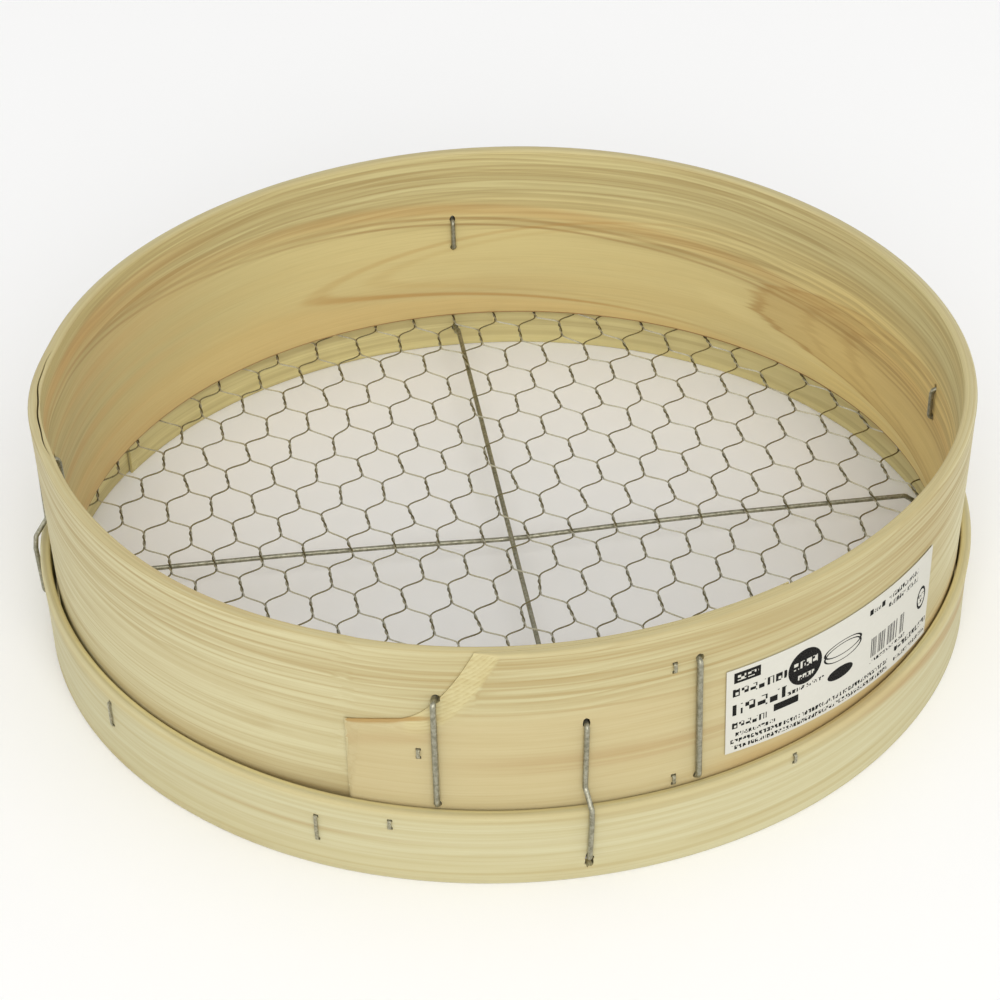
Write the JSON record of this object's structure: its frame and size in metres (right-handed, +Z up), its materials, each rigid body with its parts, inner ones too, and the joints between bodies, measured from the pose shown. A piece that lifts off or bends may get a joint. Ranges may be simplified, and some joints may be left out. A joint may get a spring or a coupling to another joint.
{
  "type": "soil sieve",
  "caption": "Round garden sieve: a bentwood hoop lapped and stitched with wire, a bentwood foot band, hexagonal wire netting clamped between them and two crossed support rods.",
  "frame": {"origin": "centre of the footprint, on the plane that the foot band stands on", "axes": "+Z up out of the sieve's mouth; one support rod lies along X and the other along Y; the hoop's lap faces -Y"},
  "size_m": [0.367, 0.3622, 0.0988],
  "materials": {
    "hoop_wood": "planed, unvarnished pale softwood",
    "band_wood": "planed, unvarnished pale softwood",
    "netting_wire": "galvanised",
    "rod_wire": "galvanised, dull and mottled",
    "staple_wire": "plain steel",
    "label_paper": "smooth coated paper"
  },
  "bodies": {
    "root": {"main_hoop": "hoop_wood", "foot_band": "band_wood", "wire_netting": "netting_wire", "support_rod_crosswise": "rod_wire", "support_rod_fore_aft": "rod_wire", "lap_stitch_left": "rod_wire", "lap_stitch_right": "rod_wire", "hoop_tack_1": "staple_wire", "hoop_tack_2": "staple_wire", "hoop_tack_3": "staple_wire", "band_tack_1": "staple_wire", "band_tack_2": "staple_wire", "band_lap_tack_1": "staple_wire", "band_lap_tack_2": "staple_wire", "band_staple_1": "staple_wire", "band_staple_2": "staple_wire", "band_staple_3": "staple_wire", "band_staple_4": "staple_wire", "band_staple_5": "staple_wire", "paper_label": "label_paper"}
  },
  "joints": []
}
